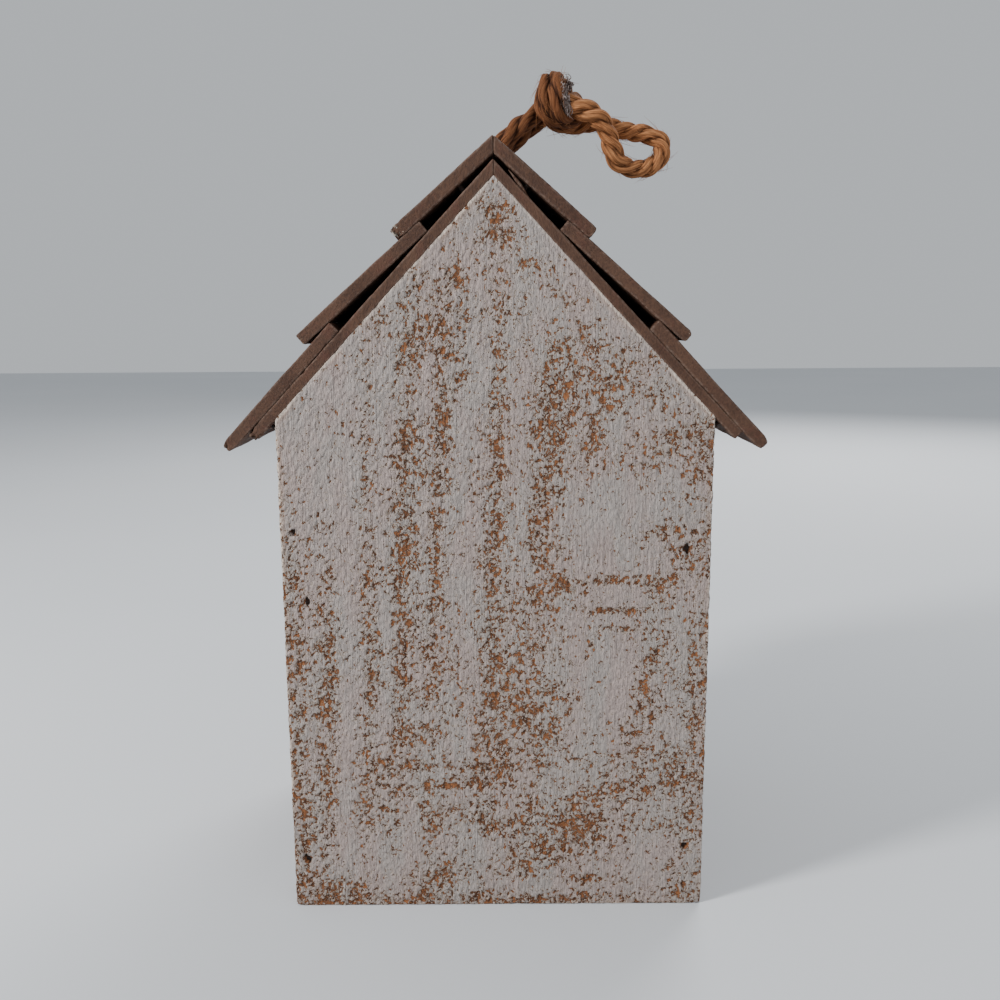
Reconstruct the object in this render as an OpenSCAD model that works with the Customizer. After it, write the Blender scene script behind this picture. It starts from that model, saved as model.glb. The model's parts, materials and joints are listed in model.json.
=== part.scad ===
// Small gabled birdhouse: a nailed box of thick boards, two thin roof decks, three
// lapped slats on each side of the roof, and a knotted rope hanger through the ridge.
// Millimetres, +Z up. The entrance faces -Y and the plain back faces +Y.
// The origin is at the middle of the base, halfway between the perch tip and the back.
// Left and right are as seen from the entrance: left is -X.

/* [Box] */
// Width of the box across its side walls
house_w = 120; // [100:1:150]
// Depth of the box, from the front face to the back face
house_d = 100; // [90:1:130]
// Height of the side walls at their outer face
eave_h = 144.5; // [120:0.5:180]
// Thickness of the box's boards
board_t = 9; // [8:0.5:12]

/* [Entrance] */
// Radius of the round entrance hole
entrance_r = 16; // [12:0.5:20]
// Height of the middle of the entrance hole
entrance_z = 118; // [90:1:125]
// Radius of the perch dowel
perch_r = 3; // [2:0.5:4]
// How far the perch stands out of the front
perch_reach = 28; // [15:1:40]
// How far the perch is below the middle of the entrance
perch_drop = 28; // [25:1:40]

/* [Roof] */
// Slope of the roof, in degrees from level
pitch = 46.8; // [42:0.1:50]
// How far the roof reaches past the front of the box
front_overhang = 16; // [8:1:24]
// Thickness of the roof decks
deck_t = 3; // [2:0.5:4]
// How far a deck reaches past the side wall, measured level
deck_reach = 5.5; // [3:0.5:8]
// Thickness of the slats
slat_t = 3.5; // [2.5:0.5:4.5]
// Width of the lower and the middle slat
slat_w = 45; // [42:1:48]
// How far the lower slat reaches past the side wall, measured level
slat_reach = 12.5; // [9:0.5:15]
// How far the middle slat laps over the lower one
middle_lap = 9.3; // [6:0.1:12]
// How far the upper slat laps over the middle one
upper_lap = 7.5; // [5:0.5:10]
// Gap between the ridge of the decks and the upper slats
ridge_gap = 1.3; // [0.6:0.1:1.3]

/* [Hanger] */
// Diameter of the rope
rope_d = 5.8; // [4:0.1:5.9]
// Radius of the hole through the ridge
ridge_hole_r = 6.5; // [6.5:0.1:8]

/* [Nails] */
// Radius of a nail's shank
nail_r = 0.65; // [0.5:0.05:0.8]
// Radius of a nail's head
nail_head_r = 1.1; // [0.9:0.05:1.3]

/* [Hidden] */

// Colours
paint_white = [0.74, 0.72, 0.70];
roof_brown = [0.34, 0.25, 0.20];
rope_tan = [0.70, 0.47, 0.25];
nail_grey = [0.35, 0.33, 0.31];

// Places along Y
back_y = (house_d + perch_reach) / 2;
front_y = back_y - house_d;
roof_front_y = front_y - front_overhang;
roof_d = back_y - roof_front_y;
rope_y = back_y - roof_d / 2;

// The roof's section, for the side with positive x. A point on a deck is given by how
// far it is down the slope from the ridge and how high it is above the underside.
half_w = house_w / 2;
apex_z = eave_h + half_w * tan(pitch);
seam = 0.15;
deck_top_z = apex_z + deck_t / cos(pitch);

function along(a) = [cos(a), -sin(a)];
function normal(a) = [sin(a), cos(a)];
function on_deck(s, n = 0) = [0, apex_z] + s * along(pitch) + n * normal(pitch);

// A slat's underside starts at start and falls at angle; it is width wide.
function slat_points(start, angle, width) = [
    start,
    start + width * along(angle),
    start + width * along(angle) + slat_t * normal(angle),
    start + slat_t * normal(angle)
];

// Lower slat: flat on the deck
lower_end_s = (half_w + slat_reach - deck_t * sin(pitch)) / cos(pitch);
lower_start_s = lower_end_s - slat_w;
lower_start = on_deck(lower_start_s, deck_t);
lower_corner = lower_start + slat_t * normal(pitch);

// Middle slat: its upper edge on the deck, its underside on the lower slat's corner
middle_span = slat_w - middle_lap;
middle_angle = pitch - asin(slat_t / middle_span);
middle_start = lower_corner - middle_span * along(middle_angle);
middle_corner = middle_start + slat_t * normal(middle_angle);

// Upper slat: mitred at the ridge, its underside on the middle slat's corner
upper_start = [0, deck_top_z + ridge_gap];
upper_run = middle_corner - upper_start;
upper_angle = -atan2(upper_run.y, upper_run.x);
upper_w = norm(upper_run) + upper_lap;
ridge_z = upper_start.y + slat_t / cos(upper_angle);

// Nails: [x, z] of the ones in the back, which were not driven in line
back_nail_places = [[56.3, 113.5], [53.2, 93.5], [56, 15], [-53.2, 108], [-54.6, 18.5]];
wall_nail_inset = board_t / 2;
front_nail_zs = [15, 112];
floor_nail_ys = [front_y + 25, back_y - 25];
panel_ys = [front_y + board_t / 2, back_y - board_t / 2];
deck_nail_ss = [50, 90];
lower_nail_u = 8;
middle_nail_u = 8;
upper_nail_u = 12;
nail_head_h = 0.8;
nail_sink = 1.2;
wall_nail_l = 22;
roof_nail_l = 12;
fit_gap = 0.05;
overcut = 1;

// Hanger: the rope turns about hinge_z, just above the ridge. Each leg is half a
// spacing from rope_y. The points are [x, y from rope_y, z].
rope_r = rope_d / 2;
leg_spacing = 6;
hinge_z = ridge_z + 1.4;
turn_gap = 0.8;
stopper_r = 9;
stopper_z = apex_z - 13.8;
near_leg = [
    [0, 3, 0], [-0.6, 3, 1.6], [-2.1, 3, 4], [-4.3, 3, 6.6],
    [-7, 2.8, 9.2], [-10.4, 1.6, 11.8], [-14, -0.4, 14.5]
];
far_leg = [
    [0, -3, 0], [-0.7, -3, 1.3], [-2.5, -3, 3.1], [-5.1, -3.2, 5.3],
    [-8.2, -3.8, 7.8], [-11.2, -4.6, 10.8], [-15.5, -5.4, 13.6]
];
loop_route = [
    [-24, 4.5, 15.8], [-28, 5.2, 14], [-31.5, 5, 12.2], [-34.2, 4.2, 9.4],
    [-35.8, 3.4, 6.2], [-37, 2.4, 3], [-38.6, 1.4, 0], [-41.4, 0.2, -1.8],
    [-44.6, -1, -2.5], [-48, -2, -2.2], [-51.2, -2.6, -0.6], [-53.2, -3, 2.4],
    [-52.8, -3.4, 5.8], [-49.6, -3.6, 8], [-45.4, -3.8, 8.8], [-41, -4, 9.6],
    [-36.8, -4.2, 10.8], [-32.4, -4.2, 12.2], [-28, -3.6, 11.6], [-24, -3, 11]
];
knot_balls = [[-18.6, 20.9, 6.1], [-18.8, 14.4, 6.2], [-23.6, 13.6, 5.4], [-23.2, 18, 5]];
knot_half_depth = 3.4;

// A shape drawn in x and z, made from y0 to y1
module across(y0, y1) {
    translate([0, y1, 0])
        rotate([90, 0, 0])
            linear_extrude(y1 - y0)
                children();
}

// A shape for the side with negative x
module on_left() {
    mirror([1, 0, 0])
        children();
}

// A nail that points down, with the top of its head at the origin
module nail(length) {
    translate([0, 0, -nail_head_h])
        cylinder(r = nail_head_r, h = nail_head_h, $fn = 24);
    translate([0, 0, -length])
        cylinder(r = nail_r, h = length - nail_head_h, $fn = 24);
}

// The hole that a nail is driven into, open above its head
module nail_hole(length) {
    translate([0, 0, -nail_head_h])
        cylinder(r = nail_head_r + fit_gap, h = nail_head_h + nail_sink + overcut, $fn = 24);
    translate([0, 0, -length - fit_gap])
        cylinder(r = nail_r + fit_gap, h = length, $fn = 24);
}

module at_back_nails() {
    for (place = back_nail_places)
        translate([place.x, back_y - nail_sink, place.y])
            rotate([-90, 0, 0])
                children();
}

module at_front_nails() {
    for (side = [-1, 1], z = front_nail_zs)
        translate([side * (half_w - wall_nail_inset), front_y + nail_sink, z])
            rotate([90, 0, 0])
                children();
}

module at_floor_nails() {
    for (side = [-1, 1], y = floor_nail_ys)
        translate([side * (half_w - nail_sink), y, board_t / 2])
            rotate([0, side * 90, 0])
                children();
}

// Nails on one side of the roof: at is [x, z] of the head, and angle is the board's slope
module at_roof_nail(at, angle) {
    for (y = panel_ys)
        translate([at.x, y, at.y])
            rotate([0, angle, 0])
                children();
}

module at_deck_nails() {
    for (s = deck_nail_ss)
        at_roof_nail(on_deck(s, deck_t), pitch)
            children();
}

module at_lower_nails() {
    at_roof_nail(lower_corner + lower_nail_u * along(pitch), pitch)
        children();
}

module at_middle_nails() {
    at_roof_nail(middle_corner + middle_nail_u * along(middle_angle), middle_angle)
        children();
}

module at_upper_nails() {
    at_roof_nail(
        upper_start + slat_t * normal(upper_angle) + upper_nail_u * along(upper_angle),
        upper_angle
    )
        children();
}

// Every nail of one side of the roof
module at_all_roof_nails() {
    at_deck_nails()
        children();
    at_lower_nails()
        children();
    at_middle_nails()
        children();
    at_upper_nails()
        children();
}

module roof_nail_holes() {
    at_all_roof_nails()
        nail_hole(roof_nail_l);
    on_left()
        at_all_roof_nails()
            nail_hole(roof_nail_l);
}

// The five-sided outline of the front and the back
module gable_outline() {
    polygon([
        [-half_w, 0], [half_w, 0], [half_w, eave_h],
        [0, apex_z], [-half_w, eave_h]
    ]);
}

module back_panel() {
    color(paint_white)
        difference() {
            across(back_y - board_t, back_y)
                gable_outline();
            at_back_nails()
                nail_hole(wall_nail_l);
            roof_nail_holes();
        }
}

module front_panel() {
    color(paint_white)
        difference() {
            across(front_y, front_y + board_t)
                gable_outline();
            translate([0, front_y + board_t + overcut, entrance_z])
                rotate([90, 0, 0])
                    cylinder(r = entrance_r, h = board_t + 2 * overcut, $fn = 96);
            translate([0, front_y + board_t + overcut, entrance_z - perch_drop])
                rotate([90, 0, 0])
                    cylinder(r = perch_r + fit_gap, h = board_t + 2 * overcut, $fn = 48);
            at_front_nails()
                nail_hole(wall_nail_l);
            roof_nail_holes();
        }
}

// A side wall with its top cut to the roof's slope
module wall() {
    inner = half_w - board_t;
    across(front_y + board_t, back_y - board_t)
        polygon([
            [inner, 0], [half_w, 0], [half_w, eave_h],
            [inner, eave_h + board_t * tan(pitch)]
        ]);
}

module wall_holes() {
    at_back_nails()
        nail_hole(wall_nail_l);
    at_front_nails()
        nail_hole(wall_nail_l);
    at_floor_nails()
        nail_hole(wall_nail_l);
}

module left_wall() {
    color(paint_white)
        difference() {
            on_left()
                wall();
            wall_holes();
        }
}

module right_wall() {
    color(paint_white)
        difference() {
            wall();
            wall_holes();
        }
}

module floor_board() {
    inner = half_w - board_t;
    color(paint_white)
        difference() {
            translate([-inner, front_y + board_t, 0])
                cube([2 * inner, house_d - 2 * board_t, board_t]);
            at_floor_nails()
                nail_hole(wall_nail_l);
        }
}

// Dowel with a domed tip
module perch() {
    dome_h = perch_r * 0.6;
    color(roof_brown)
        translate([0, front_y + board_t, entrance_z - perch_drop])
            rotate([90, 0, 0])
                rotate_extrude($fn = 48)
                    polygon(concat(
                        [[0, 0], [perch_r, 0]],
                        [for (a = [0 : 15 : 75])
                            [perch_r * cos(a), board_t + perch_reach - dome_h + dome_h * sin(a)]],
                        [[0, board_t + perch_reach]]
                    ));
}

// The hole for the rope, through everything at the ridge
module ridge_hole() {
    translate([0, rope_y, apex_z - 2 * ridge_hole_r])
        cylinder(r = ridge_hole_r, h = 4 * ridge_hole_r, $fn = 64);
}

module deck() {
    end = on_deck((half_w + deck_reach) / cos(pitch));
    difference() {
        across(roof_front_y, back_y)
            polygon([
                [seam, apex_z - seam * tan(pitch)],
                end,
                end + deck_t * normal(pitch),
                [seam, deck_top_z - seam * tan(pitch)]
            ]);
        ridge_hole();
        at_all_roof_nails()
            nail_hole(roof_nail_l);
    }
}

module deck_left() {
    color(roof_brown)
        on_left()
            deck();
}

module deck_right() {
    color(roof_brown)
        deck();
}

module lower_slat() {
    difference() {
        across(roof_front_y, back_y)
            polygon(slat_points(lower_start, pitch, slat_w));
        at_lower_nails()
            nail_hole(roof_nail_l);
    }
}

module middle_slat() {
    difference() {
        across(roof_front_y, back_y)
            polygon(slat_points(middle_start, middle_angle, slat_w));
        at_middle_nails()
            nail_hole(roof_nail_l);
    }
}

module upper_slat() {
    end = upper_start + upper_w * along(upper_angle);
    difference() {
        across(roof_front_y, back_y)
            polygon([
                upper_start + [seam, -seam * tan(upper_angle)],
                end,
                end + slat_t * normal(upper_angle),
                [seam, ridge_z - seam * tan(upper_angle)]
            ]);
        ridge_hole();
        at_upper_nails()
            nail_hole(roof_nail_l);
    }
}

module slat_left_lower() {
    color(roof_brown)
        on_left()
            lower_slat();
}

module slat_left_middle() {
    color(roof_brown)
        on_left()
            middle_slat();
}

module slat_left_upper() {
    color(roof_brown)
        on_left()
            upper_slat();
}

module slat_right_lower() {
    color(roof_brown)
        lower_slat();
}

module slat_right_middle() {
    color(roof_brown)
        middle_slat();
}

module slat_right_upper() {
    color(roof_brown)
        upper_slat();
}

module back_nails() {
    color(nail_grey)
        at_back_nails()
            nail(wall_nail_l);
}

module front_nails() {
    color(nail_grey)
        at_front_nails()
            nail(wall_nail_l);
}

module floor_nails() {
    color(nail_grey)
        at_floor_nails()
            nail(wall_nail_l);
}

module deck_nails() {
    color(nail_grey) {
        at_deck_nails()
            nail(roof_nail_l);
        on_left()
            at_deck_nails()
                nail(roof_nail_l);
    }
}

module one_side_slat_nails() {
    at_lower_nails()
        nail(roof_nail_l);
    at_middle_nails()
        nail(roof_nail_l);
    at_upper_nails()
        nail(roof_nail_l);
}

module slat_nails() {
    color(nail_grey) {
        one_side_slat_nails();
        on_left()
            one_side_slat_nails();
    }
}

// The route of a piece of rope, moved from the hinge to its place
function placed(route) = [for (p = route) p + [0, rope_y, hinge_z]];

function unit(v) = v / norm(v);
function heading(route, i) =
    unit(route[min(i + 1, len(route) - 1)] - route[max(i - 1, 0)]);
function ring(centre, ahead, sides) =
    let (side = unit(cross(ahead, [0, 1, 0])), up = cross(side, ahead))
    [for (k = [0 : sides - 1])
        centre + rope_r * (cos(360 * k / sides) * side + sin(360 * k / sides) * up)];

// A round tube through the route's points, as one solid
module rope(route, sides = 12) {
    last = len(route) - 1;
    points = [for (i = [0 : last]) each ring(route[i], heading(route, i), sides)];
    walls = [for (i = [0 : last - 1], k = [0 : sides - 1])
        let (a = i * sides + k, b = i * sides + (k + 1) % sides)
        each [[a, b, b + sides], [a, b + sides, a + sides]]];
    start_cap = [for (k = [sides - 1 : -1 : 0]) k];
    end_cap = [for (k = [0 : sides - 1]) last * sides + k];
    polyhedron(points, concat(walls, [start_cap, end_cap]), convexity = 6);
}

// The knot inside the roof that keeps the rope from pulling out
module stopper_knot() {
    color(rope_tan)
        translate([0, rope_y, stopper_z])
            sphere(r = stopper_r, $fn = 48);
}

// The two strands between the stopper knot and the ridge
module hanger_stub() {
    color(rope_tan)
        difference() {
            for (side = [-1, 1])
                translate([0, rope_y + side * leg_spacing / 2, stopper_z])
                    cylinder(r = rope_r, h = hinge_z - stopper_z, $fn = 32);
            translate([0, rope_y - leg_spacing, hinge_z])
                rotate([-90, 0, 0])
                    cylinder(r = rope_r + turn_gap, h = 2 * leg_spacing, $fn = 48);
        }
}

module hanger_legs() {
    color(rope_tan) {
        rope(placed(near_leg));
        rope(placed(far_leg));
    }
}

module hanger_knot() {
    color(rope_tan)
        hull()
            for (ball = knot_balls, side = [-1, 1])
                translate([ball.x, rope_y + side * knot_half_depth, hinge_z + ball.y])
                    sphere(r = ball.z, $fn = 24);
}

module hanger_loop() {
    color(rope_tan)
        rope(placed(loop_route));
}

back_panel();
front_panel();
left_wall();
right_wall();
floor_board();
perch();
deck_left();
deck_right();
slat_left_lower();
slat_left_middle();
slat_left_upper();
slat_right_lower();
slat_right_middle();
slat_right_upper();
back_nails();
front_nails();
floor_nails();
deck_nails();
slat_nails();
stopper_knot();
hanger_stub();
hanger_legs();
hanger_knot();
hanger_loop();
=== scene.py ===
"""Looks of a small gabled birdhouse with a rope hanger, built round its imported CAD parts.

The frame and every object are in metres. Sizes in this script are millimetres unless a
name or a comment says otherwise, and MM brings them to metres. The plain back of the
house faces +Y, and the camera looks at it."""

import json
import math
import random

import bpy
import numpy as np
from mathutils import Matrix, Vector


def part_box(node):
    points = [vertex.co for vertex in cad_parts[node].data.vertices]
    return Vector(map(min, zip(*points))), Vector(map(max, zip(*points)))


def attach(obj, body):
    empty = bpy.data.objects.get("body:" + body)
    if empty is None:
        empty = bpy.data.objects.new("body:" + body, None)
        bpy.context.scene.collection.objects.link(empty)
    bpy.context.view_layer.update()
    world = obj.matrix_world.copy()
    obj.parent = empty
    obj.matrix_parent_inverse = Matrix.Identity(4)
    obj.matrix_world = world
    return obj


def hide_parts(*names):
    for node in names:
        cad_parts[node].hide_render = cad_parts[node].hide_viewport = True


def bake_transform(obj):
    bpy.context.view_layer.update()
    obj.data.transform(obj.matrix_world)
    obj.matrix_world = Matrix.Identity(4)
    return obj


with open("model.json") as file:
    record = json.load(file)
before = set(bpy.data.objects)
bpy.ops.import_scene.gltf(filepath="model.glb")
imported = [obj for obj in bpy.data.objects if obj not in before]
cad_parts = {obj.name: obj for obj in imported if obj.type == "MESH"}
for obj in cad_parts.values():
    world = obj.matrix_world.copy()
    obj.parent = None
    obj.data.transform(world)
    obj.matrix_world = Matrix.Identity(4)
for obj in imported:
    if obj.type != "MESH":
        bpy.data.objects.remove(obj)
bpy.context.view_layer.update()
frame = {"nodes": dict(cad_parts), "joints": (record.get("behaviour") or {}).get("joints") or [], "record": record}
MM = 0.001
X, Y, Z = 0, 1, 2

# ---- camera, light, stage

CAMERA_PLACE = (-0.0012, 0.341, 0.172)
CAMERA_DOWN = 10.2  # degrees below level
CAMERA_ROLL = -0.37  # degrees
CAMERA_LENS = 36.72
FLOOR_SIZE = 6.0  # metres


def aim(place, target):
    """The matrix of a lamp at place that shines at target."""
    turn = (Vector(target) - Vector(place)).to_track_quat("-Z", "Y")
    return Matrix.Translation(place) @ turn.to_matrix().to_4x4()


def added(name, data):
    """A new object in the scene."""
    made = bpy.data.objects.new(name, data)
    bpy.context.scene.collection.objects.link(made)
    return made


def add_camera():
    data = bpy.data.cameras.new("camera")
    data.lens = CAMERA_LENS
    data.clip_start = 0.01
    camera = added("camera", data)
    camera.matrix_world = (
        Matrix.Translation(CAMERA_PLACE)
        @ Matrix.Rotation(math.pi, 4, "Z")
        @ Matrix.Rotation(math.radians(90 - CAMERA_DOWN), 4, "X")
        @ Matrix.Rotation(math.radians(CAMERA_ROLL), 4, "Z")
    )
    bpy.context.scene.camera = camera


def add_lamp(name, place, width, power, colour=(1, 1, 1)):
    data = bpy.data.lights.new(name, "AREA")
    data.shape = "DISK"
    data.size = width
    data.energy = power
    data.color = colour
    added(name, data).matrix_world = aim(place, (0, 0, 0.12))


def add_light():
    """A soft key from the upper left of the camera, a weaker fill, one lamp behind."""
    add_lamp("key", (0.8, 0.46, 0.66), 0.2, 12.5)
    add_lamp("fill", (-0.8, 0.9, 0.45), 1.0, 2.2, (0.94, 0.97, 1))
    add_lamp("front", (-0.5, -1.0, 0.8), 0.8, 12)
    world = bpy.data.worlds.new("studio")
    world.use_nodes = True
    sky = world.node_tree.nodes["Background"]
    sky.inputs["Color"].default_value = (0.78, 0.82, 0.86, 1)
    sky.inputs["Strength"].default_value = 0.68
    bpy.context.scene.world = world


# ---- node trees


class Tree:
    """Adds nodes to one tree. A value is a number, a tuple or another node's socket.

    The functions that describe a surface call their Tree t."""

    def __init__(self, tree):
        self.tree = tree
        self.shapes = tree.bl_idname == "GeometryNodeTree"

    def node(self, kind, values=None, **settings):
        made = self.tree.nodes.new(kind)
        for name, setting in settings.items():
            setattr(made, name, setting)
        for key, value in (values or {}).items():
            if isinstance(value, bpy.types.NodeSocket):
                self.tree.links.new(value, made.inputs[key])
            else:
                made.inputs[key].default_value = value
        return made

    def attribute(self, name, vector=False):
        if self.shapes:
            kind = "FLOAT_VECTOR" if vector else "FLOAT"
            kind_of_node, values = "GeometryNodeInputNamedAttribute", {"Name": name}
            return self.node(kind_of_node, values, data_type=kind).outputs[0]
        made = self.node("ShaderNodeAttribute", attribute_name=name)
        return made.outputs["Vector" if vector else "Fac"]

    def math(self, operation, a, b=0.0):
        return self.node("ShaderNodeMath", {0: a, 1: b}, operation=operation).outputs[0]

    def plus(self, *terms):
        total = terms[0]
        for term in terms[1:]:
            total = self.math("ADD", total, term)
        return total

    def minus(self, a, b):
        return self.math("SUBTRACT", a, b)

    def times(self, a, b):
        return self.math("MULTIPLY", a, b)

    def swing(self, noise, size):
        """A noise about 0 instead of 0.5, times size."""
        return self.times(self.minus(noise, 0.5), size)

    def ramp(self, value, low, high, to_low=0.0, to_high=1.0):
        """A smooth step from to_low, where value is low, to to_high, where it is high."""
        values = {0: value, 1: low, 2: high, 3: to_low, 4: to_high}
        made = self.node("ShaderNodeMapRange", values, interpolation_type="SMOOTHSTEP")
        return made.outputs[0]

    def noise(self, place, scale, detail=2.0, rough=0.5):
        values = {"Vector": place, "Scale": scale, "Detail": detail, "Roughness": rough}
        return self.node("ShaderNodeTexNoise", values).outputs[0]

    def warped(self, place, scale, amount):
        """The place, pushed about by a noise."""
        values = {"Vector": place, "Scale": scale, "Detail": 2.0}
        push = self.node("ShaderNodeTexNoise", values).outputs["Color"]
        return self.vector("MULTIPLY_ADD", {0: push, 1: (amount,) * 3, 2: place})

    def cells(self, place, scale):
        """How far it is to the border of the nearest cell, where a cell is about 1 wide."""
        values = {"Vector": place, "Scale": scale}
        made = self.node("ShaderNodeTexVoronoi", values, feature="DISTANCE_TO_EDGE")
        return made.outputs["Distance"]

    def vector(self, operation, values):
        return self.node("ShaderNodeVectorMath", values, operation=operation).outputs[0]

    def stretched(self, place, factors):
        return self.vector("MULTIPLY", {0: place, 1: factors})

    def moved(self, place, by):
        return self.vector("ADD", {0: place, 1: by})

    def blend(self, factor, a, b):
        """Colour a where factor is 0, and b where it is 1."""
        values = {0: factor, 6: a, 7: b}
        return self.node("ShaderNodeMix", values, data_type="RGBA").outputs[2]

    def scaled(self, vector, factor):
        """The vector or colour, times the factor."""
        return self.vector("SCALE", {0: vector, "Scale": factor})


SPECULAR = 0.25  # of every surface; 0.5 is the usual level


def material(name, paint_it):
    """A material whose nodes paint_it adds, round one Principled shader."""
    made = bpy.data.materials.new(name)
    made.use_nodes = True
    tree = Tree(made.node_tree)
    shader = made.node_tree.nodes["Principled BSDF"]
    colour, roughness, height = paint_it(tree)
    bump = tree.node("ShaderNodeBump", {"Height": height, "Distance": MM})
    wires = {"Base Color": colour, "Roughness": roughness, "Normal": bump.outputs[0]}
    for key, socket in wires.items():
        made.node_tree.links.new(socket, shader.inputs[key])
    shader.inputs["Specular IOR Level"].default_value = SPECULAR
    return made


def relief(name, height_of):
    """A modifier's tree that moves each point out along its normal by height_of, in mm."""
    group = bpy.data.node_groups.new(name, "GeometryNodeTree")
    for way in ("INPUT", "OUTPUT"):
        group.interface.new_socket("Geometry", in_out=way, socket_type="NodeSocketGeometry")
    tree = Tree(group)
    source = tree.node("NodeGroupInput")
    normal = tree.node("GeometryNodeInputNormal")
    push = tree.scaled(normal.outputs[0], tree.times(height_of(tree), MM))
    values = {"Geometry": source.outputs[0], "Offset": push}
    moved = tree.node("GeometryNodeSetPosition", values)
    sink = tree.node("NodeGroupOutput")
    group.links.new(moved.outputs[0], sink.inputs[0])
    return group


# ---- painted wood


class Paint:
    """Chalky paint, brushed on along the grain and rubbed through to the wood.

    Every board carries the attributes that the fields read: rest, a point's place in mm
    with the grain along the second axis, wear from 0 to 1, edge, the distance to the
    board's nearest edge, and raw, which is 1 on the unpainted inner faces."""

    def __init__(self, t):
        self.tree = t
        self.rest = rest = t.attribute("rest", vector=True)
        wear = t.attribute("wear")
        self.edge = t.attribute("edge")
        self.raw = t.attribute("raw")
        self.patch = t.noise(rest, 0.09)
        self.fine = t.noise(t.moved(rest, (31, 7, 3)), 2.2)
        self.brush = t.noise(t.stretched(rest, (3.0, 0.08, 3.0)), 1.0, 3, 0.6)
        self.lumps = t.noise(t.stretched(rest, (1.4, 0.55, 1.4)), 0.95, 2, 0.6)
        clump = t.plus(t.noise(t.moved(rest, (3, 90, 4)), 0.19), -0.5)
        # Small marks, where the brush missed the hollows
        bent = t.warped(t.stretched(rest, (1, 0.74, 1)), 0.5, 1.9)
        mark = t.noise(bent, 0.86, 2, 0.62)
        mark = t.plus(mark, t.times(wear, 0.135), t.times(clump, 0.22), -0.682)
        # Thin breaks between lumps of paint
        borders = t.cells(t.warped(t.stretched(rest, (1, 0.8, 1)), 0.8, 1.35), 0.92)
        breaks = t.noise(t.moved(rest, (60, 2, 8)), 0.64, 3, 0.6)
        breaks = t.plus(breaks, t.times(wear, 0.2), t.times(clump, 0.27), -0.668)
        gap = t.math("MINIMUM", t.times(breaks, 2.2), 0.2)
        gap = t.times(t.minus(gap, borders), 0.22)
        # Larger chips among them
        rubbed = t.times(t.math("POWER", wear, 4.0), 0.06)
        crumb = t.noise(t.stretched(rest, (1, 0.9, 1)), 0.49, 4, 0.72)
        chip = t.plus(crumb, t.times(wear, 0.08), rubbed, t.times(clump, 0.2), -0.715)
        self.level = t.math("MAXIMUM", t.math("MAXIMUM", gap, chip), mark)
        self.pit_level = t.plus(self.fine, t.times(wear, 0.04), -0.675)
        # Faint grime in the brush marks
        grime = t.noise(t.stretched(t.moved(rest, (12, 5, 9)), (1, 0.55, 1)), 1.7, 3, 0.65)
        self.grime = t.times(t.ramp(grime, 0.5, 0.64), t.plus(0.2, t.times(wear, 0.12)))

    def height(self, sharp):
        """The surface's height in mm; sharp makes the chips' walls steep."""
        t = self.tree
        low, high = (-0.024, 0.012) if sharp else (-0.02, 0.04)
        deep = -0.72 if sharp else -0.34
        chip = t.ramp(self.level, low, high, 0, deep)
        pit = t.ramp(self.pit_level, 0, 0.05, 0, -0.15)
        brush = t.swing(self.brush, 0.32)
        lumps = t.swing(self.lumps, 0.82)
        gone = t.ramp(self.level, -0.01, 0.02, 1, 0.25)
        skin = t.times(t.plus(brush, lumps), gone)
        painted = t.plus(chip, pit, skin)
        return t.times(painted, t.minus(1.0, self.raw))


def paint_relief(t):
    """Paint's height in mm, with the edges knocked back here and there."""
    paint = Paint(t)
    knocks = t.noise(t.moved(paint.rest, (5, 50, 9)), 0.33, 3, 0.6)
    amount = t.ramp(knocks, 0.52, 0.7, 0, -0.25)
    near = t.ramp(paint.edge, 0.2, 1.8, 1, 0)
    height = t.times(paint.height(False), t.ramp(paint.edge, 0, 0.8, 0.3, 1))
    return t.plus(height, t.times(amount, near))


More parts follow.
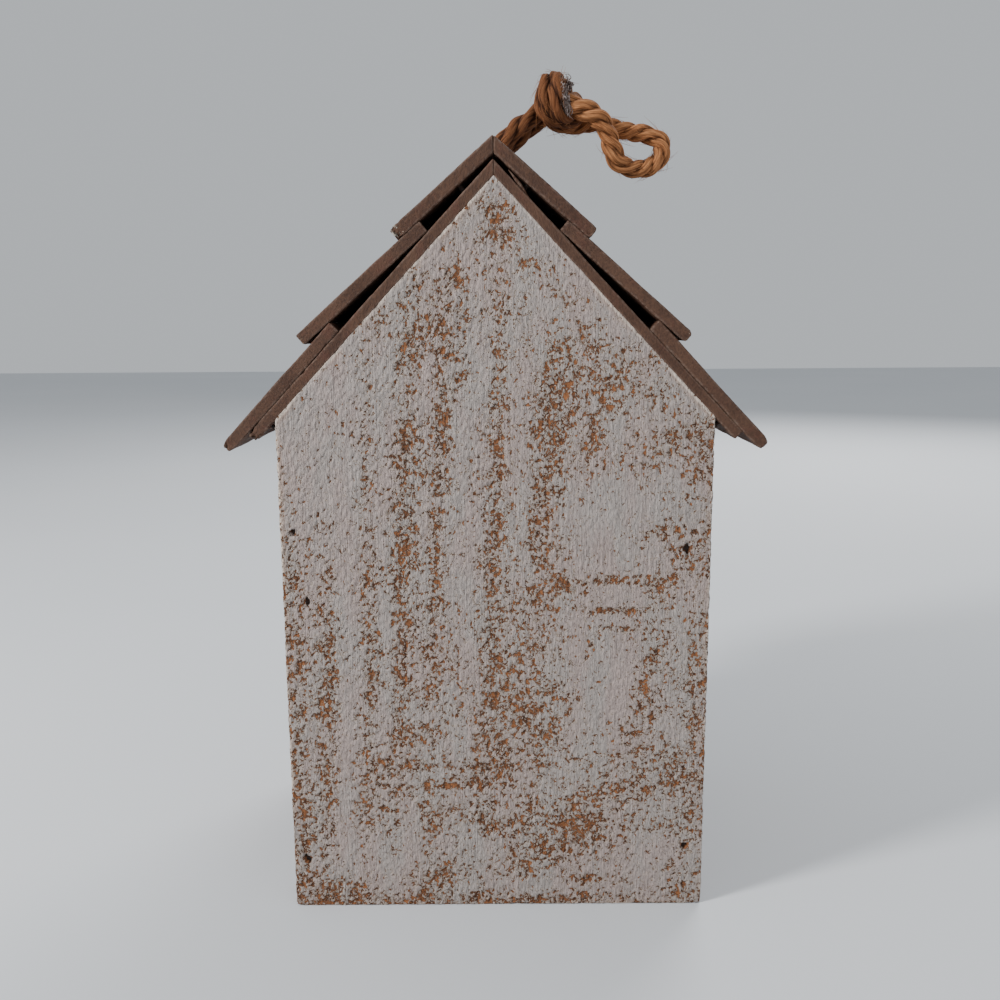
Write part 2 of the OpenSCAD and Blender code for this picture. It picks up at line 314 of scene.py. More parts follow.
def painted_wood(t):
    paint = Paint(t)
    chip = t.ramp(paint.level, 0.002, 0.012)
    rim = t.ramp(paint.level, 0.055, 0.01)
    lip_highlight = t.times(t.ramp(paint.level, -0.04, -0.006), 0.85)
    pit = t.ramp(paint.pit_level, 0.0, 0.02)
    warm = t.noise(t.stretched(paint.rest, (1, 0.35, 1)), 0.1, 4, 0.6)
    warm = t.ramp(warm, 0.4, 0.6)
    shade = t.blend(warm, (0.362, 0.318, 0.293, 1), (0.382, 0.306, 0.28, 1))
    # The paint is lighter and darker along its brush marks: partly its own streaks, partly painted shade of their
    # ridges.
    streak = t.ramp(paint.brush, 0.34, 0.66, 0.82, 1.1)
    shade = t.scaled(shade, streak)
    rubbed = t.times(t.ramp(paint.edge, 2.4, 0.2), t.ramp(paint.patch, 0.42, 0.6))
    shade = t.blend(t.times(rubbed, 0.5), shade, (0.38, 0.23, 0.15, 1))
    # A pale line along the edges: painted highlight where the rounded edge would catch the light.
    edge_highlight = t.ramp(paint.edge, 0.9, 0.4)
    edge_highlight = t.times(edge_highlight, t.ramp(paint.patch, 0.42, 0.6, 0.25, 0.8))
    shade = t.blend(edge_highlight, shade, (0.68, 0.58, 0.49, 1))
    shade = t.blend(paint.grime, shade, (0.17, 0.125, 0.1, 1))
    # Pale lips round the chips: painted highlight where the paint's raised edges would catch the light.
    shade = t.blend(lip_highlight, shade, (0.66, 0.53, 0.43, 1))
    grain = t.noise(t.stretched(paint.rest, (1.6, 0.1, 1.6)), 1.0, 4, 0.6)
    tone = t.ramp(t.plus(t.times(grain, 0.5), t.times(paint.fine, 0.5)), 0.36, 0.62)
    wood = t.blend(tone, (0.05, 0.021, 0.011, 1), (0.32, 0.125, 0.048, 1))
    # The dark rim inside the chips: partly painted shade under the paint's edge, partly dirt.
    wood = t.blend(t.times(rim, 0.8), wood, (0.036, 0.018, 0.012, 1))
    pit_tone = t.ramp(paint.patch, 0.4, 0.6)
    pit_colour = t.blend(pit_tone, (0.085, 0.058, 0.046, 1), (0.15, 0.068, 0.038, 1))
    colour = t.blend(t.times(pit, 0.9), shade, pit_colour)
    colour = t.blend(chip, colour, wood)
    bare = t.blend(tone, (0.26, 0.16, 0.09, 1), (0.42, 0.28, 0.17, 1))
    colour = t.blend(paint.raw, colour, bare)
    roughness = t.ramp(paint.level, -0.02, 0.02, 0.88, 0.72)
    return colour, roughness, paint.height(True)


# ---- boards


norm = np.linalg.norm


def unit(vectors):
    return vectors / norm(vectors, axis=-1, keepdims=True)


def lattice_line(length, step, radius):
    """Places along one side of a board, close together where its edges are round."""
    bend = [radius * (1 - math.tan(math.radians(a))) for a in (45, 30, 15, 0)]
    count = max(2, round((length - 2 * radius) / step) + 1)
    middle = np.linspace(radius, length - radius, count)[1:-1]
    return np.concatenate([bend, middle, [length - b for b in reversed(bend)]])


BORDER = 6  # rows of small faces that a plain face keeps along its sides
INNER_FACE = (2, 0)  # the face at the low end of the third axis
ENDS = (0, -1)


def rounded_box(size, step, radius, plain):
    """A closed box of quads with round edges, as places, faces and edge distances.

    Each (axis, end) in plain is a face that nobody sees closely: past its border it is
    one flat polygon. step has one spacing for each axis."""
    lines = [lattice_line(s, d, radius) for s, d in zip(size, step)]
    shape = [len(line) for line in lines]
    outside = np.ones(shape, bool)
    outside[1:-1, 1:-1, 1:-1] = False
    index = -np.ones(shape, int)
    index[outside] = np.arange(outside.sum())
    grids = np.meshgrid(*lines, indexing="ij")
    places = np.stack([grid[outside] for grid in grids], axis=1)
    faces = []
    for axis in range(3):
        for end in ENDS:
            face = index.take(end, axis=axis)
            quads = np.stack(
                [face[:-1, :-1], face[1:, :-1], face[1:, 1:], face[:-1, 1:]], axis=-1
            )
            turned = (axis == 1) == (end == -1)
            if (axis, end) in plain:
                inner = face[BORDER:-BORDER, BORDER:-BORDER]
                ring = np.concatenate(
                    [inner[:-1, 0], inner[-1, :-1], inner[:0:-1, -1], inner[0, :0:-1]]
                )
                faces.append(ring[::-1].tolist() if turned else ring.tolist())
                keep = np.ones(quads.shape[:2], bool)
                keep[BORDER:-BORDER, BORDER:-BORDER] = False
                quads = quads[keep]
            quads = quads.reshape(-1, 4)
            faces.extend((quads[:, ::-1] if turned else quads).tolist())
    sides = np.array(size)
    edge = np.sort(np.minimum(places, sides - places), axis=1)[:, 1]
    core = np.clip(places, radius, sides - radius)
    return core + unit(places - core) * radius, faces, edge


def mesh_piece(name, places, faces, body, finish, attributes, smooth=True):
    """A mesh object from places in mm that rides on a body, where there is one.

    Each attribute has a value for each place, or one for all."""
    used = np.unique(np.concatenate([np.asarray(face) for face in faces]))
    renumber = np.zeros(len(places), int)
    renumber[used] = np.arange(len(used))
    mesh = bpy.data.meshes.new(name)
    mesh.from_pydata(
        (np.asarray(places)[used] * MM).tolist(),
        [],
        [renumber[face].tolist() for face in map(np.asarray, faces)],
    )
    for key, values in attributes.items():
        values = np.asarray(values, np.float32)
        values = values[used] if values.ndim else np.full(len(used), values)
        vector = values.ndim == 2
        layer = mesh.attributes.new(key, "FLOAT_VECTOR" if vector else "FLOAT", "POINT")
        layer.data.foreach_set("vector" if vector else "value", values.ravel())
    mesh.polygons.foreach_set("use_smooth", [smooth] * len(mesh.polygons))
    mesh.materials.append(finish)
    mesh.update()
    piece = added(name, mesh)
    if body:
        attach(piece, body)
    return piece


def changed(piece, kind, **settings):
    """Puts a modifier on the piece and turns what comes out into its mesh."""
    modifier = piece.modifiers.new(kind.lower(), kind)
    for name, setting in settings.items():
        setattr(modifier, name, setting)
    bpy.context.view_layer.update()
    depsgraph = bpy.context.evaluated_depsgraph_get()
    old = piece.data
    mesh = bpy.data.meshes.new_from_object(
        piece.evaluated_get(depsgraph), preserve_all_data_layers=True, depsgraph=depsgraph
    )
    piece.modifiers.clear()
    piece.data = mesh
    bpy.data.meshes.remove(old)
    mesh.name = piece.name


def cut(piece, cutter):
    """Cuts the cutter out of the piece."""
    changed(piece, "BOOLEAN", object=cutter, solver="MANIFOLD")


def house_piece(name, node, places, faces, look, **attributes):
    """A piece of the house that stands for one CAD node, with its relief in its mesh."""
    slot, finish, surface = look
    piece = mesh_piece(name, places, faces, "house", finish, attributes)
    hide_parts(node)
    changed(piece, "NODES", node_group=surface)
    return piece


def tube_faces(rings, sides, first=0):
    """The faces of a closed tube, whose rings of points follow each other from first."""
    rows = first + np.arange(rings - 1)[:, None] * sides
    around = np.arange(sides)
    a, b = rows + around, rows + (around + 1) % sides
    faces = np.stack([a, b, b + sides, a + sides], axis=-1).reshape(-1, 4).tolist()
    last = first + (rings - 1) * sides
    faces.append([first + k for k in range(sides - 1, -1, -1)])
    faces.append([last + k for k in range(sides)])
    return faces


def lathe(profile, sides):
    """Places and faces of a closed round shape along z, from (radius, z) in mm."""
    turns = np.linspace(0, 2 * math.pi, sides, endpoint=False)
    rings = np.array(
        [[(r * math.cos(a), r * math.sin(a), z) for a in turns] for r, z in profile]
    )
    return rings.reshape(-1, 3), tube_faces(len(profile), sides)


def cad_points(node):
    """A CAD node's own vertices, in mm."""
    return np.array([v.co for v in frame["nodes"][node].data.vertices]) / MM


def section(node):
    """A board's corners in x and z, in mm. Every board is one outline made along y."""
    flat = np.round(cad_points(node)[:, [X, Z]], 2)
    flat = sorted(set(map(tuple, flat.tolist())))
    hull = []
    for way in (flat, flat[::-1]):
        side = []
        for p in way:
            while len(side) > 1:
                (ax, az), (bx, bz) = side[-2], side[-1]
                turn = (bx - ax) * (p[1] - az) - (bz - az) * (p[0] - ax)
                if turn > 0.05 * math.hypot(p[0] - ax, p[1] - az):
                    break
                side.pop()
            side.append(p)
        hull += side[:-1]
    return hull


def reach(node, axis):
    """The node's lowest and highest place along an axis, in mm."""
    low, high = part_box(node)
    return low[axis] / MM, high[axis] / MM


APEX_Z = reach("back_panel", Z)[1]
HALF_WIDTH = reach("back_panel", X)[1]
EAVE_Z = max(z for x, z in section("back_panel") if abs(x) > HALF_WIDTH - 1)
PITCH = math.atan2(APEX_Z - EAVE_Z, HALF_WIDTH)
BACK_Y = reach("back_panel", Y)[1]
FRONT_Y = reach("front_panel", Y)[0]
BOARD = BACK_Y - reach("back_panel", Y)[0]
ENTRANCE = next(m for m in frame["record"]["mounts"] if m["name"] == "entrance")
HINGE = Vector(frame["joints"][0]["pos_m"])

# Where the back's paint is thin: across, up, half width, half height, lean, strength.
# Across is measured to the right as the back is seen, from the middle; lean is how far
# a band moves across for each millimetre up.
BACK_WEAR = [
    # broad stretches with small marks
    (2, 85, 26, 62, 0, 0.38), (8, 26, 52, 22, 0, 0.36), (-30, 100, 14, 60, 0.03, 0.2),
    (38, 142, 22, 18, 0, 0.3), (0, 180, 18, 22, 0, 0.2), (50, 70, 12, 40, 0, 0.22),
    (-50, 40, 10, 50, 0, 0.3),
    # columns, from left to right
    (-56.5, 57, 3.5, 64, 0, 0.76), (-48.5, 62, 3.2, 54, 0.03, 0.84),
    (-36, 130, 2.6, 36, 0.04, 0.66), (-36.5, 60, 2.8, 46, 0.04, 0.8),
    (-33, 166, 3, 6, 0.3, 0.5), (-26, 105, 4.2, 66, 0.06, 0.92),
    (-20, 172, 5.5, 12, 0.3, 0.72), (-16, 118, 3, 70, 0.05, 0.86),
    (-9.8, 182, 1.3, 4, 0.1, 1.12), (5, 190, 3.5, 7, -0.5, 0.7),
    (-9, 164, 2.4, 14, 0.1, 0.66),
    (0, 118, 3, 74, 0.03, 0.84), (0, 198, 5, 10, 0, 0.6),
    (13, 118, 6, 48, 0.05, 0.8), (17, 152, 9, 16, 0.1, 0.68),
    (14.5, 182, 4, 7, -0.8, 0.76), (24, 168, 3, 10, -0.6, 0.5),
    # the right upper part
    (33, 156, 12, 10, 0, 0.7), (27, 140, 4, 7, 0, 0.6), (47, 137, 9, 5, 0.3, 0.66),
    (45, 131.5, 7, 1.0, 0, 0.82), (56.5, 134, 3.4, 16, 0, 0.78), (54, 107, 6, 9, 0, 0.74),
    (47, 113, 7, 2, 0.9, 0.72),
    # short rows
    (32.7, 99, 11, 1.5, 0, 1.2), (40.5, 98.8, 2.2, 1.6, 0, 1.0), (19, 98, 3.2, 2.6, 0, 1.5),
    (33, 90.3, 9.5, 1.2, 0.02, 1.3), (33.8, 85, 8.5, 1.0, 0, 1.05),
    (45, 95, 6, 6, 0, 0.7),
    # the right lower part
    (41.5, 62, 5, 22, 0.18, 0.9), (56, 62, 3.6, 30, 0, 0.66), (0, 62, 12, 20, 0, 0.6),
    (13, 58, 9, 12, 0, 0.82), (48, 44, 8, 8, 0, 0.66), (55, 25, 4, 8, 0, 0.7),
    # the bottom
    (-29, 44.5, 10, 2.6, 0, 0.95), (-24.5, 53, 6, 4.5, 0.3, 0.85),
    (-7, 43.8, 18, 1.1, -0.03, 1.3), (-12, 37.8, 21, 1.1, -0.03, 1.25),
    (-19.5, 26, 2.6, 11, 0, 0.8), (-11, 29, 10, 3.6, 0, 0.9),
    (22, 23, 20, 9, 0.1, 0.93), (38, 36, 15, 5, 2.2, 0.84),
    (25, 8.5, 8.5, 1.5, -2.0, 1.0), (-49, 4.5, 12, 5, 0, 1.1),
    (-19, 7, 8, 5.5, 1.0, 1.02), (0, 2, 60, 2.4, 0, 0.88), (53, 8, 5, 6, 0, 0.76),
    (-30, 30, 2.8, 13, 0.1, 0.72), (6, 12, 9, 4, 0, 0.6),
]
# Stretches of whole, smooth paint, given in the same way
BACK_SMOOTH = [
    (30, 66, 7, 15, 0, 0.85), (30, 113, 8, 8, 0, 0.8), (-42.5, 68, 2.4, 56, 0.04, 0.85),
    (-47, 138, 9, 20, 0.1, 0.6), (38, 122, 8, 5, 0, 0.6), (7.5, 130, 2, 30, 0, 0.5),
    (-8, 100, 2.6, 60, 0.03, 0.45), (43, 14, 6, 7, 0, 0.6), (-40, 17, 9, 8, 0, 0.7),
    (-31.5, 74, 2, 30, 0.04, 0.6), (-4, 17, 6, 4, 0, 0.5),
]


def bands(across, up, areas):
    """How strongly each point lies in one of the areas, from 0 to 1."""
    outside = np.ones(len(across))
    for u, v, half_u, half_v, lean, strength in areas:
        a = (across - u - lean * (up - v)) / half_u
        b = (up - v) / half_v
        outside *= 1 - strength * np.exp(-1.1 * a * a - b**4)
    return 1 - outside


def scattered(width, height, seed):
    """Worn bands for a face that has no layout of its own, made like the back's."""
    some = random.Random(seed).uniform
    broad = [
        (some(0, width), some(0.2, 0.8) * height, 16, height * 0.4, 0, 0.36)
        for _ in range(3)
    ]
    columns = [
        (
            some(0, width), some(0.2, 0.8) * height, some(2, 4.5),
            some(0.25, 0.6) * height, some(-0.03, 0.05), some(0.5, 0.9),
        )
        for _ in range(round(width / 11))
    ]
    rows = [
        (
            some(0, width), some(0.03, 0.9) * height, some(6, 16), some(1, 3),
            some(-0.2, 0.2), some(0.6, 0.95),
        )
        for _ in range(round(width / 14))
    ]
    return broad + columns + rows


def worn(across, up, edge, areas, smooth=()):
    """The wear of each point, from its bands and its distance to an edge."""
    wear = 0.1 + 0.9 * bands(across, up, areas)
    wear *= 1 - bands(across, up, smooth) if smooth else 1
    return np.clip(wear + 0.5 * np.exp(-edge / 1.1), 0, 1.15)


def dented(places, at, toward, radius, depth, stretch=1.0, lean=0.0):
    """Pushes the points round a nail in, along toward. stretch makes the hole a slit."""
    out = np.array(toward, float)
    gap = places - np.array(at)
    near = np.abs(gap @ out) < 3
    gap = gap - np.outer(gap @ out, out)
    side = unit(np.cross(out, (0, 0, 1)))
    a, b = gap @ side, gap[:, 2]
    a, b = a * math.cos(lean) + b * math.sin(lean), b * math.cos(lean) - a * math.sin(lean)
    ripple = 1 + 0.22 * np.sin(3 * np.arctan2(b, a) + at[2])
    far = np.hypot(a, b / stretch) / (radius * ripple)
    wall = np.exp(np.minimum(9 * (far - 1), 60))
    push = np.where(near, depth / (1 + wall), 0)
    return places - push[:, None] * out


def unpainted(depth, edge):
    """1 on a board's inner face and 0 elsewhere, its edges among them."""
    return ((depth < 0.3) & (edge > 2)).astype(float)


def joint_side(depth):
    """Keeps the pale line of painted highlight off the edges that meet another board."""
    return np.where(depth < BOARD / 2, 1.5, 0)


PATTERN_STEP = 17.0  # mm between the patterns of two painted boards
PAINTED_ROUND = 0.6  # the radius of a painted board's edges


def gable_panel(name, node, step, wear_of, seed, holes):
    """The front or the back: a board whose top follows the roof."""
    outward = 1 if node == "back_panel" else -1
    outer_y = BACK_Y if outward == 1 else FRONT_Y
    size = (2 * HALF_WIDTH, APEX_Z, BOARD)
    places, faces, edge = rounded_box(size, (step, step, 1.2), PAINTED_ROUND, [INNER_FACE])
    across = places[:, 0] - HALF_WIDTH
    top = EAVE_Z + (HALF_WIDTH - np.abs(across)) * math.tan(PITCH)
    # The round top edge ends just inside the deck, so no gap shows between them
    up = places[:, 1] * (top + 0.35) / APEX_Z
    under_deck = np.clip((top - up) * math.cos(PITCH), 0, None)
    edge = np.minimum(edge, under_deck)
    depth = places[:, 2]
    co = np.stack([-outward * across, outer_y + outward * (depth - BOARD), up], axis=1)
    for hole in holes:
        co = dented(co, *hole)
    wear = wear_of(across, up, edge) - 0.55 * np.exp(-((under_deck / 1.3) ** 2))
    for (x, _, z), *_ in holes:
        near = np.hypot(co[:, 0] - x, co[:, 2] - z)
        wear = wear + 0.7 * np.exp(-((near / 1.15) ** 4))
    return house_piece(
        name, node, co, faces, WHITE,
        rest=np.stack([across, up, depth], axis=1) + PATTERN_STEP * seed,
        wear=wear,
        edge=edge + joint_side(depth),
        raw=unpainted(depth, edge),
    )


# Each nail hole in the back, from the highest x to the lowest: stretch and lean (degrees)
NAIL_SLITS = [(1.9, 10), (3.5, -35), (3.1, -8), (3.4, 0), (1.7, 10)]


def nail_middles(points, axes):
    """The middle of each nail among the points, which are near each other along axes."""
    groups = []
    for point in points:
        for group in groups:
            if norm((group[0] - point)[axes]) < 5:
                group.append(point)
                break
        else:
            groups.append([point])
    middles = [(np.min(group, axis=0) + np.max(group, axis=0)) / 2 for group in groups]
    return sorted((middle.tolist() for middle in middles), reverse=True)


def nails_through(node):
    """The middle of each nail in a gable panel, in mm."""
    return nail_middles(cad_points(node), [X, Z])


def back_panel():
    holes = []
    for (x, _, z), (stretch, lean) in zip(nails_through("back_nails"), NAIL_SLITS):
        at = (x, BACK_Y, z)
        holes.append((at, (0, 1, 0), 0.43, 2.3, stretch, math.radians(lean)))

    def wear_of(across, up, edge):
        return worn(across, up, edge, BACK_WEAR, BACK_SMOOTH)

    gable_panel("board_back", "back_panel", 0.55, wear_of, 0, holes)


def front_panel():
    places = nails_through("front_nails")
    holes = [((x, FRONT_Y, z), (0, -1, 0), 1.0, 1.6) for x, _, z in places]
    areas = scattered(2 * HALF_WIDTH, APEX_Z, 5)

    def wear_of(across, up, edge):
        hole_z = ENTRANCE["pos_m"][2] / MM
        rim = np.hypot(across, up - hole_z) - ENTRANCE["dims"]["r_mm"]
        wear = worn(across + HALF_WIDTH, up, edge, areas)
        return wear + 0.45 * np.exp(-np.abs(rim) / 1.5)

    piece = gable_panel("board_front", "front_panel", 0.72, wear_of, 1, holes)
    cutter = entrance_cutter()
    cut(piece, cutter)
    bpy.data.objects.remove(cutter)


def entrance_cutter():
    """The entrance hole with a rounded rim on both sides, as a cutter."""
    radius, bend = ENTRANCE["dims"]["r_mm"], 0.9
    rim = [
        (radius + bend * (1 - math.sin(a)), bend * (1 - math.cos(a)))
        for a in np.radians(np.arange(0, 91, 15))
    ]
    outer = BOARD / 2 + 0.05
    profile = [(radius + bend, -outer - 2)]
    profile += [(r, z - outer) for r, z in rim]
    profile += [(r, outer - z) for r, z in reversed(rim)]
    profile += [(radius + bend, outer + 2)]
    places, faces = lathe(profile, 128)
    middle = np.array(ENTRANCE["pos_m"]) / MM
    co = np.stack([places[:, 0], -places[:, 2], places[:, 1]], axis=1) + middle
    rest = co[:, [0, 2, 1]] + PATTERN_STEP
    attributes = {"rest": rest, "wear": 0.75, "edge": 1, "raw": 0}
    return mesh_piece("entrance_cutter", co, faces, None, PAINTED, attributes)


def side_wall(name, node, seed):
    out = 1 if node == "right_wall" else -1
    y0, y1 = reach(node, Y)
    low, high = sorted(z for x, z in section(node) if z > BOARD)
    size = (y1 - y0, high, BOARD)
    places, faces, edge = rounded_box(size, (0.75, 0.75, 1.5), PAINTED_ROUND, [INNER_FACE])
    across, depth = places[:, 0], places[:, 2]
    top = high - (high - low) * depth / BOARD
    up = places[:, 1] * top / high
    y = y0 + across if out == 1 else y1 - across
    co = np.stack([out * (HALF_WIDTH - BOARD + depth), y, up], axis=1)
    nails_here = cad_points("floor_nails")
    nails_here = nails_here[nails_here[:, 0] * out > 0]
    for _, nail_y, z in nail_middles(nails_here, [Y]):
        co = dented(co, (out * HALF_WIDTH, nail_y, z), (out, 0, 0), 1.0, 1.5)
    house_piece(
        name, node, co, faces, WHITE,
        rest=np.stack([across, up, depth], axis=1) + PATTERN_STEP * seed,
        wear=worn(across, up, edge + 1, scattered(size[0], high, 11 + seed)),
        edge=edge + 1.5,
        raw=unpainted(depth, edge),
    )


def floor_board():
    (x0, x1), (y0, y1) = reach("floor_board", X), reach("floor_board", Y)
    size = (x1 - x0, y1 - y0, BOARD)
    places, faces, edge = rounded_box(size, (1.2, 1.2, 1.5), 0.5, [INNER_FACE])
    across, up, depth = places.T
    co = np.stack([x0 + across, y1 - up, BOARD - depth], axis=1)
    house_piece(
        "board_floor", "floor_board", co, faces, WHITE,
        rest=places + PATTERN_STEP * 7,
        wear=worn(across, up, edge, scattered(size[0], size[1], 23)),
        edge=edge,
        raw=unpainted(depth, edge),
    )


# ---- brown roof boards


class Stain:
    """Matte brown paint on thin boards. The grain runs along the second axis of rest."""

    def __init__(self, t):
        self.tree = t
        self.rest = t.attribute("rest", vector=True)
        self.edge = t.attribute("edge")
        self.wear = t.attribute("wear")
        self.grain = t.noise(t.stretched(self.rest, (1.5, 0.07, 1.5)), 1.0, 4, 0.62)
        self.fibre = t.noise(t.stretched(self.rest, (5.5, 0.3, 5.5)), 1.0, 3, 0.6)
        self.speck = t.noise(self.rest, 1.1, 4, 0.7)
        self.patch = t.noise(self.rest, 0.1)
        limit = t.plus(0.76, t.times(self.wear, -0.2))
        nearness = t.ramp(self.edge, 1.3, 0.1, 0, 0.05)
        self.level = t.minus(t.plus(self.speck, nearness), limit)

    def height(self):
        t = self.tree
        grain = t.swing(self.grain, 0.28)
        fibre = t.swing(self.fibre, 0.16)
        speck = t.swing(self.speck, 0.14)
        chip = t.ramp(self.level, -0.01, 0.03, 0, -0.16)
        return t.plus(grain, fibre, speck, chip)


def stain_relief(t):
    """Stain's height in mm, with chipped edges and a slow unevenness of the board."""
    stain = Stain(t)
    knocks = t.noise(t.moved(stain.rest, (5, 50, 9)), 0.42, 4, 0.66)
    limit = t.plus(0.6, t.times(stain.wear, -0.16))
    level = t.minus(knocks, limit)
    amount = t.times(t.ramp(level, 0, 0.12, 0, -1.1), t.plus(stain.wear, 0.25))
    near = t.ramp(stain.edge, 0.2, 2.4, 1, 0)
    wave = t.swing(t.noise(stain.rest, 0.06, 1, 0.5), 0.6)
    inner = t.ramp(stain.edge, 0, 1.5, 0.4, 1)
    return t.plus(t.times(stain.height(), inner), t.times(amount, near), wave)


def brown_wood(t):
    stain = Stain(t)
    tone = t.ramp(t.plus(t.times(stain.grain, 0.6), t.times(stain.patch, 0.4)), 0.34, 0.64)
    colour = t.blend(tone, (0.056, 0.027, 0.017, 1), (0.108, 0.055, 0.034, 1))
    red = t.ramp(t.noise(t.moved(stain.rest, (9, 3, 1)), 0.16, 3, 0.6), 0.5, 0.7, 0, 0.35)
    colour = t.blend(red, colour, (0.11, 0.04, 0.027, 1))
    dark = t.ramp(stain.fibre, 0.44, 0.3, 0, 0.5)
    colour = t.blend(dark, colour, (0.025, 0.013, 0.01, 1))
    # Paler in specks along the edges.
    pale_edge = t.times(t.ramp(stain.edge, 0.75, 0.25), t.ramp(stain.speck, 0.42, 0.6))
    colour = t.blend(t.times(pale_edge, 0.3), colour, (0.26, 0.19, 0.15, 1))
    chip = t.ramp(stain.level, 0, 0.01)
    pale = t.blend(t.ramp(stain.patch, 0.4, 0.6), (0.42, 0.23, 0.12, 1), (0.55, 0.5, 0.42, 1))
    colour = t.blend(t.times(chip, 0.85), colour, pale)
    roughness = t.ramp(stain.grain, 0.3, 0.7, 0.62, 0.8)
    return colour, roughness, stain.height()


BROWN_STEP = 23.0  # mm between the patterns of two roof boards


def roof_board(name, node, step, radius, seed, plain, nose, worn_end):
    """A deck or a slat, between the four corners of its CAD section.

    nose is how long the rounded part of its lower end is, in mm, and worn_end is how much
    of the paint is gone from that end at the back."""
    corners = sorted(section(node), key=lambda corner: abs(corner[0]))
    under_in, top_in = np.array(sorted(corners[:2], key=lambda corner: corner[1]))
    under_out, top_out = np.array(sorted(corners[2:], key=lambda corner: corner[1]))
    side = math.copysign(1, under_out[0])
    if abs(under_in[0]) < 1:  # the boards of the two slopes touch at the ridge
        under_in[0] = top_in[0] = 0
    y0, y1 = reach(node, Y)
    wide, thick = math.dist(under_out, under_in), math.dist(top_out, under_out)
    size = (wide, y1 - y0, thick)
    places, faces, edge = rounded_box(size, step, radius, plain)
    a, b = places[:, 0:1] / wide, places[:, 2:3] / thick
    if nose:
        near = np.clip(1 - (wide - places[:, 0:1]) / nose, 0, 1)
        b = 0.42 + (b - 0.42) * np.sqrt(1 - 0.72 * near * near)
    flat = (
        (1 - a) * (1 - b) * under_in + a * (1 - b) * under_out
        + a * b * top_out + (1 - a) * b * top_in
    )
    y = y0 + places[:, 1] if side > 0 else y1 - places[:, 1]
    co = np.stack([flat[:, 0], y, flat[:, 1]], axis=1)
    lower = np.exp(-(wide - places[:, 0]) / 2.2)
    back_end = np.exp(-(y1 - y) / 4)
    return house_piece(
        name, node, co, faces, DARK,
        rest=places + BROWN_STEP * seed,
        wear=0.05 + 0.25 * lower + worn_end * lower * back_end,
        edge=edge,
    )


RIDGE_HOLE_R = 6.4
# Each roof board, with the length of its rounded nose and the wear of its back corner
ROOF_BOARDS = [
    ("deck", "left", 0, 0.1), ("deck", "right", 1.5, 0.75),
    ("lower", "left", 2.0, 0.1), ("lower", "right", 3.0, 0.15),
    ("middle", "left", 1.4, 0.35), ("middle", "right", 0, 0.6),
    ("upper", "left", 0.8, 0.25), ("upper", "right", 0, 1.1),
]


def ridge_cutter():
    """The rope's hole through the ridge, as a cutter for the decks and upper slats."""
    places, faces = lathe([(RIDGE_HOLE_R, APEX_Z - 12), (RIDGE_HOLE_R, APEX_Z + 20)], 48)
    co = places + np.array([0, HINGE.y / MM, 0])
    attributes = {"rest": co + 3.0, "wear": 0.6, "edge": 0.6}
    return mesh_piece("ridge_cutter", co, faces, None, BROWN, attributes)


def roof():
    cutter = ridge_cutter()
    for seed, (place, side, nose, worn_end) in enumerate(ROOF_BOARDS):
        deck = place == "deck"
        node = f"deck_{side}" if deck else f"slat_{side}_{place}"
        step = (1.1, 1.1, 0.5) if deck else (0.8, 0.9, 0.45)
        plain = [] if deck else [INNER_FACE]
        board = roof_board(f"roof_{node}", node, step, 0.45, seed, plain, nose, worn_end)
        if place in ("deck", "upper"):
            cut(board, cutter)
    bpy.data.objects.remove(cutter)


# ---- rope

ROPE_D = 5.8
LAY = 15.0  # how far a strand goes along the rope in one turn
LOOSE_LAY = 25.0  # the same in the knot and the legs, where the rope has opened
STRAND_OFF = 1.42
STRAND_R = 1.52
YARNS = 6

# The rope's route: x from the ridge, y from the middle of the ridge hole and z from the
# hinge. The legs and the loop repeat the CAD's routes.
NEAR_LEG = [
    (0, 3, 0), (-0.6, 3, 1.6), (-2.1, 3, 4), (-4.3, 3, 6.6),
    (-7, 2.8, 9.2), (-10.4, 1.6, 11.8), (-14, -0.4, 14.5),
]
FAR_LEG = [
    (0, -3, 0), (-0.7, -3, 1.3), (-2.5, -3, 3.1), (-5.1, -3.2, 5.3),
    (-8.2, -3.8, 7.8), (-11.2, -4.6, 10.8), (-15.5, -5.4, 13.6),
]
LOOP = [
    (-24, 4.5, 15.8), (-28, 5.2, 14), (-31.5, 5, 12.2), (-34.2, 4.2, 9.4),
    (-35.8, 3.4, 6.2), (-37, 2.4, 3), (-38.6, 1.4, 0), (-41.4, 0.2, -1.8),
    (-44.6, -1, -2.5), (-48, -2, -2.2), (-51.2, -2.6, -0.6), (-53.2, -3, 2.4),
    (-52.8, -3.4, 5.8), (-49.6, -3.6, 8), (-45.4, -3.8, 8.8), (-41, -4, 9.6),
    (-36.8, -4.2, 10.8), (-32.4, -4.2, 12.2), (-28, -3.6, 11.6), (-24, -3, 11),
]
# Inside the knot: the near strand, then the far strand, each from its leg to the loop
NEAR_KNOT = [
    (-18, -1.2, 18.1), (-20, 0.2, 20.3), (-20.3, 2.8, 22.7), (-19.3, 5.2, 21.3),
    (-19.3, 6.4, 18.4), (-19.2, 6.6, 15.6), (-19.8, 6.2, 13.5), (-21.6, 4, 12),
    (-24.6, 1.2, 12.6), (-26.3, -1.6, 14.7), (-25.4, -1.8, 17.8), (-23.8, 0.4, 17.4),
    (-23.2, 3.4, 17),
]
FAR_KNOT = [
    (-19.5, -5.8, 17.5), (-22.4, -5.6, 19.9), (-21.4, -3.6, 22.9), (-18.7, -0.6, 24.0),
    (-16.9, 2.6, 23.0), (-15.5, 4.4, 19.8), (-15.4, 4.7, 16), (-16.5, 4.3, 13),
    (-18.8, 2.4, 11.5), (-21.4, -0.6, 11.2),
]
INSIDE = [(0, 3, -24), (0, 3, -14), (0, 3, -5)]
